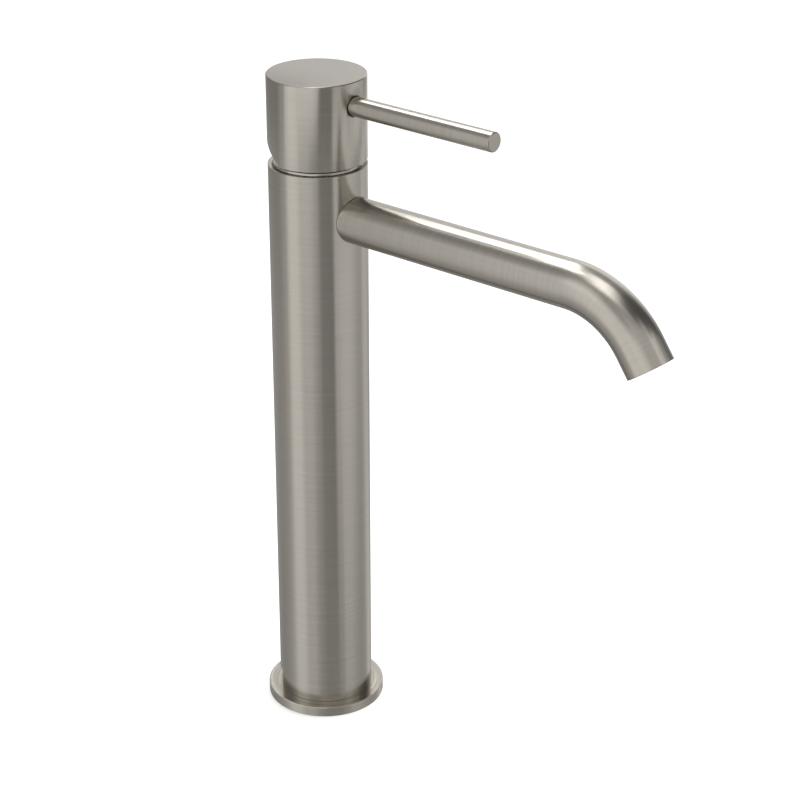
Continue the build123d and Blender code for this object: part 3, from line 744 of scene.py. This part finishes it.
# %% Sweep the spout
centre_line = bpy.data.meshes.new("spout_shell")
centre_line.from_pydata([root, corner, mouth], [(0, 1), (1, 2)], [])
spout_shell = bpy.data.objects.new("spout_shell", centre_line)
bpy.context.scene.collection.objects.link(spout_shell)

sweep = spout_shell.modifiers.new("sweep", "NODES")
sweep.node_group = tube_tree()
settings = {
    "Tube Radius": spout_radius,
    "Bend Radius": bend_radius,
    "Bend Steps": bend_steps,
    "Ring Steps": ring_steps,
    "Column Radius": column_radius + spout_joint,
    "Material": nickel_tube,
}
for item in sweep.node_group.interface.items_tree:
    if item.in_out == "INPUT" and item.name in settings:
        sweep[item.identifier] = settings[item.name]
bake_modifiers(spout_shell)
print("swept:", len(spout_shell.data.vertices), "vertices")

# %% [markdown]
# The sweep is a skin without thickness. Solidify gives it the real wall, inwards, so that
# the mouth shows a tube and not a solid bar. The faces must point outwards first.

# %% Give the spout its wall
shape = bmesh.new()
shape.from_mesh(spout_shell.data)
bmesh.ops.recalc_face_normals(shape, faces=shape.faces)
first_face = shape.faces[0]
middle = Vector((first_face.calc_center_median().x, 0, spout_height))
if (first_face.calc_center_median() - middle).dot(first_face.normal) < 0:
    bmesh.ops.reverse_faces(shape, faces=shape.faces)
shape.to_mesh(spout_shell.data)
shape.free()

wall = spout_shell.modifiers.new("wall", "SOLIDIFY")
wall.thickness = spout_wall
wall.offset = -1
wall.use_even_offset = True
break_edges(spout_shell, mouth_break, sharp_angle=mouth_sharpness)
dress(spout_shell, nickel_tube, "spout_tube")

# %% [markdown]
# ## The studio
#
# Metal has almost no look of its own: it shows the room. A plain white room makes it flat,
# so a studio keeps the walls grey and hangs white panels and dark cloths on them. Here the
# world does that. The camera looks straight at it and sees plain white. What is seen in
# the metal is the grey room with its panels.
#
# A panel on a wall is a window on the compass, from one azimuth to another, times a window
# on the height, all in degrees. Azimuth 0 is on the hot side of the mixer, and 90 is
# straight in front of the spout. The dot product of a ray's level direction with the
# panel's own direction falls from 1 in its middle to less at its sides. The panels are
# hung in order, each over the ones before it, and each row is named for what it is.

# %% Panels on the walls
room_level = 0.45
wall_panels = (
    # what it is, from azimuth, to azimuth, from height, to height, softness, brightness
    ("pale wall past the spout", 30, 110, 0, 45, 2, 0.65),
    ("white wall behind", 185, 220, -20, 35, 3, 1.1),
    ("low panel behind", 160, 185, -25, -10, 7, 0.95),
    ("dark cloth on the far right", 115, 155, 30, 55, 3, 0.1),
    ("dark cloth down the far corner", 145, 170, -5, 55, 10, 0.1),
    ("dark cloth under the ceiling", 75, 160, 50, 70, 2, 0.1),
    ("dim wall on the left", 240, 305, -20, 55, 2, 0.3),
    ("dim floor on the left", 230, 285, -80, -30, 12, 0.3),
    ("pale floor on the near left", -50, 20, -50, -20, 8, 0.6),
    ("tall soft light on the near left", -27, -13, -35, 50, 14, 1.0),
    ("glow above that light", -35, 0, 25, 30, 14, 1.4),
    ("soft panel beside the camera", -5, 40, -20, 25, 13, 1.0),
    ("bright strip high in front", 95, 130, 28, 32, 5, 1.8),
    ("low light in front", 63, 128, -25, -10, 15, 1.2),
    ("grey wall on the right", 75, 160, -18, 12, 7, 0.6),
    ("dark upright cloth in front", 43, 76, -33, 15, 2, 0.25),
    ("dark floor in front", 75, 92, -60, -27, 2, 0.35),
    ("dark floor on the right", 120, 155, -65, -30, 8, 0.4),
    ("dark floor beside the camera", 35, 60, -60, -20, 14, 0.35),
    ("pale floor behind", 172, 193, -60, -25, 2, 0.7),
    ("narrow light on the right", 134, 142, -17, 18, 10, 0.8),
    ("grey panel low behind", 207, 225, -20, 5, 6, 0.7),
    ("dark cloth low behind", 173, 190, -15, -5, 15, 0.05),
    ("grey panel that the cap's top mirrors", 215, 233, 6, 27, 5, 0.75),
    ("dark panel that the flange's top mirrors", 219, 233, 28, 35, 2, 0.3),
)


def window(tree, value, low, high, softness):
    """1 between two values, 0 outside them, soft at both edges."""
    rise = remap(tree, value, low - softness, low + softness, 0, 1, smooth=True)
    fall = remap(tree, value, high - softness, high + softness, 1, 0, smooth=True)
    return math_node(tree, "MULTIPLY", rise, fall)


def compass_window(tree, level_direction, low, high, softness):
    """1 between two azimuths in degrees, 0 outside them, soft at both edges."""
    middle, half_width = radians(low + high) / 2, (high - low) / 2
    towards = (sin(middle), -cos(middle), 0)
    alike = vector_node(tree, "DOT_PRODUCT", level_direction, towards, output="Value")
    outside = cos(radians(half_width + softness))
    inside = cos(radians(half_width - softness))
    return remap(tree, alike, outside, inside, 0, 1, smooth=True)


# %% [markdown]
# The ceiling has three lights: a broad one right above the mixer, and two long ones behind
# it that meet. Their edges draw the sharp end of the bright streak along the spout. Where
# a ray meets the ceiling is its level part divided by its rise, so a light there is a plain
# rectangle, measured in heights of the ceiling.

# %% Lights on the ceiling
# Rays that rise less than the second of these miss the ceiling. The first keeps the
# division from running away.
smallest_rise = 0.01
ceiling_starts = 0.02

ceiling_lights = (
    # what it is, centre x, centre y, turn in degrees, half length, half width, softness, brightness
    ("broad light above the mixer", 0, 0, 10, 0.4, 0.2, 0.15, 2.2),
    ("long light behind", -0.9, 0.35, 55, 0.65, 0.12, 0.08, 5),
    ("second light behind", -0.7, 0.65, 22, 0.42, 0.12, 0.07, 5),
)


def studio(tree):
    """How bright the studio is in each direction, for rays that reflect in the metal."""
    direction = add_node(tree, "ShaderNodeTexCoord").outputs["Generated"]
    split = add_node(tree, "ShaderNodeSeparateXYZ", {"Vector": direction})
    flat = add_node(
        tree, "ShaderNodeCombineXYZ", {"X": split.outputs["X"], "Y": split.outputs["Y"]}
    )
    level_direction = vector_node(tree, "NORMALIZE", flat.outputs["Vector"])
    height = math_node(tree, "DEGREES", math_node(tree, "ARCSINE", split.outputs["Z"]))
    brightness = room_level
    for _, left, right, lowest, highest, softness, level in wall_panels:
        mask = math_node(
            tree,
            "MULTIPLY",
            compass_window(tree, level_direction, left, right, softness),
            window(tree, height, lowest, highest, softness),
        )
        brightness = blend(tree, mask, brightness, level)
    rise = math_node(tree, "MAXIMUM", split.outputs["Z"], smallest_rise)
    ceiling_x = math_node(tree, "DIVIDE", split.outputs["X"], rise)
    ceiling_y = math_node(tree, "DIVIDE", split.outputs["Y"], rise)
    above = math_node(tree, "GREATER_THAN", split.outputs["Z"], ceiling_starts)
    for _, centre_x, centre_y, turn, half_length, half_width, softness, level in ceiling_lights:
        from_x = math_node(tree, "SUBTRACT", ceiling_x, centre_x)
        from_y = math_node(tree, "SUBTRACT", ceiling_y, centre_y)
        sine, cosine = sin(radians(turn)), cos(radians(turn))
        along = mixture(tree, (from_x, -sine), (from_y, cosine))
        across = mixture(tree, (from_x, cosine), (from_y, sine))
        mask = math_node(
            tree,
            "MULTIPLY",
            window(tree, along, -half_length, half_length, softness),
            window(tree, across, -half_width, half_width, softness),
        )
        brightness = blend(tree, math_node(tree, "MULTIPLY", mask, above), brightness, level)
    return brightness


# %% The world
backdrop_light = 1.0
other_light = 0.8

world = bpy.data.worlds.new("studio")
bpy.context.scene.world = world
world.use_nodes = True
tree = world.node_tree
background = tree.nodes["Background"]
rays = add_node(tree, "ShaderNodeLightPath").outputs
seen_in_metal = math_node(tree, "MAXIMUM", rays["Is Glossy Ray"], rays["Is Transmission Ray"])
strength = blend(tree, seen_in_metal, other_light, studio(tree))
strength = blend(tree, rays["Is Camera Ray"], strength, backdrop_light)
tree.links.new(strength, background.inputs["Strength"])
background.inputs["Color"].default_value = (1, 1, 1, 1)
print("studio with", len(wall_panels), "panels and", len(ceiling_lights), "ceiling lights")

# %% [markdown]
# ## Floor and lamp
#
# The floor is pale and matt. It takes the mixer's soft shadow, and a little light of its
# own lifts the rest of it to white. One large soft lamp above makes that shadow. Neither
# of them shows in the metal, which mirrors the studio only.

# %% The floor
floor_size = 12.0
floor_grey = 0.8
floor_roughness = 0.9
floor_glow = 0.35

floor_mesh = bpy.data.meshes.new("floor")
corners = [(-1, -1, 0), (1, -1, 0), (1, 1, 0), (-1, 1, 0)]
floor_corners = [Vector(corner) * floor_size / 2 for corner in corners]
floor_mesh.from_pydata(floor_corners, [], [(0, 1, 2, 3)])
floor = bpy.data.objects.new("floor", floor_mesh)
bpy.context.scene.collection.objects.link(floor)
floor.visible_glossy = False

floor_material = bpy.data.materials.new("pale_floor")
floor_material.use_nodes = True
tree = floor_material.node_tree
shader = tree.nodes["Principled BSDF"]
shader.inputs["Base Color"].default_value = (floor_grey, floor_grey, floor_grey, 1)
shader.inputs["Roughness"].default_value = floor_roughness
shader.inputs["Emission Color"].default_value = (1, 1, 1, 1)
shader.inputs["Emission Strength"].default_value = floor_glow
floor_mesh.materials.append(floor_material)

# %% The lamp
lamp_place = Vector((0.1, 0.35, 1.3))
lamp_length = 1.4
lamp_width = 0.7
lamp_power = 12
middle_of_mixer = (cad_bounds[0] + cad_bounds[1]) / 2

lamp_data = bpy.data.lights.new("top_lamp", "AREA")
lamp_data.shape = "RECTANGLE"
lamp_data.size = lamp_length
lamp_data.size_y = lamp_width
lamp_data.energy = lamp_power
lamp = bpy.data.objects.new("top_lamp", lamp_data)
lamp.location = lamp_place
lamp.rotation_mode = "QUATERNION"
lamp.rotation_quaternion = (middle_of_mixer - lamp_place).to_track_quat("-Z", "Y")
lamp.visible_glossy = False
bpy.context.scene.collection.objects.link(lamp)
print("lamp above at", [round(value, 2) for value in lamp.location])

# %% [markdown]
# ## Look
#
# The Standard view shows colours about as they are written.

# %% Finish
bpy.context.scene.view_settings.view_transform = "Standard"
